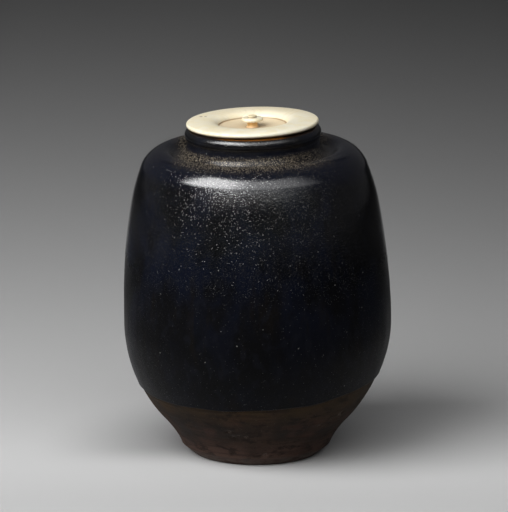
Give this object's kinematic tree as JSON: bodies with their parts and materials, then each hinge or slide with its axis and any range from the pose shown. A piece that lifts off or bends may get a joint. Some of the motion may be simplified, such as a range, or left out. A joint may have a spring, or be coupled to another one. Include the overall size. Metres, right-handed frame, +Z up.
{
  "type": "tea jar",
  "caption": "Small thrown jar for powdered tea: high rounded shoulder, short neck with a rolled lip, dark glaze ending above a bare foot, and a flat ivory lift-off lid with a small knob.",
  "frame": {"origin": "centre of the foot, on the surface that the jar stands on", "axes": "+Z up through the mouth; the neck leans slightly towards -X"},
  "size_m": [0.0701, 0.0702, 0.0896],
  "materials": {
    "clay": "bare dark brown stoneware, dry and slightly sandy, with fine trimming lines",
    "glaze": "glossy blue-black iron glaze with fine silvery and gold-brown crystals, amber where thin",
    "ivory": "polished cream ivory with faint grain arcs and amber stain in the corners",
    "gold_leaf": "gold leaf on paper, softly wrinkled"
  },
  "bodies": {
    "jar": {"clay_pot": "clay", "glaze_coat": "glaze"},
    "lid": {"lid_plate": "ivory", "lid_knob": "ivory", "gold_lining": "gold_leaf"}
  },
  "joints": [
    {"name": "lid_lift", "type": "slide", "parent": "jar", "child": "lid", "axis": [-0.0332, 0, 0.9995], "range_m": [0, 0.04]}
  ]
}
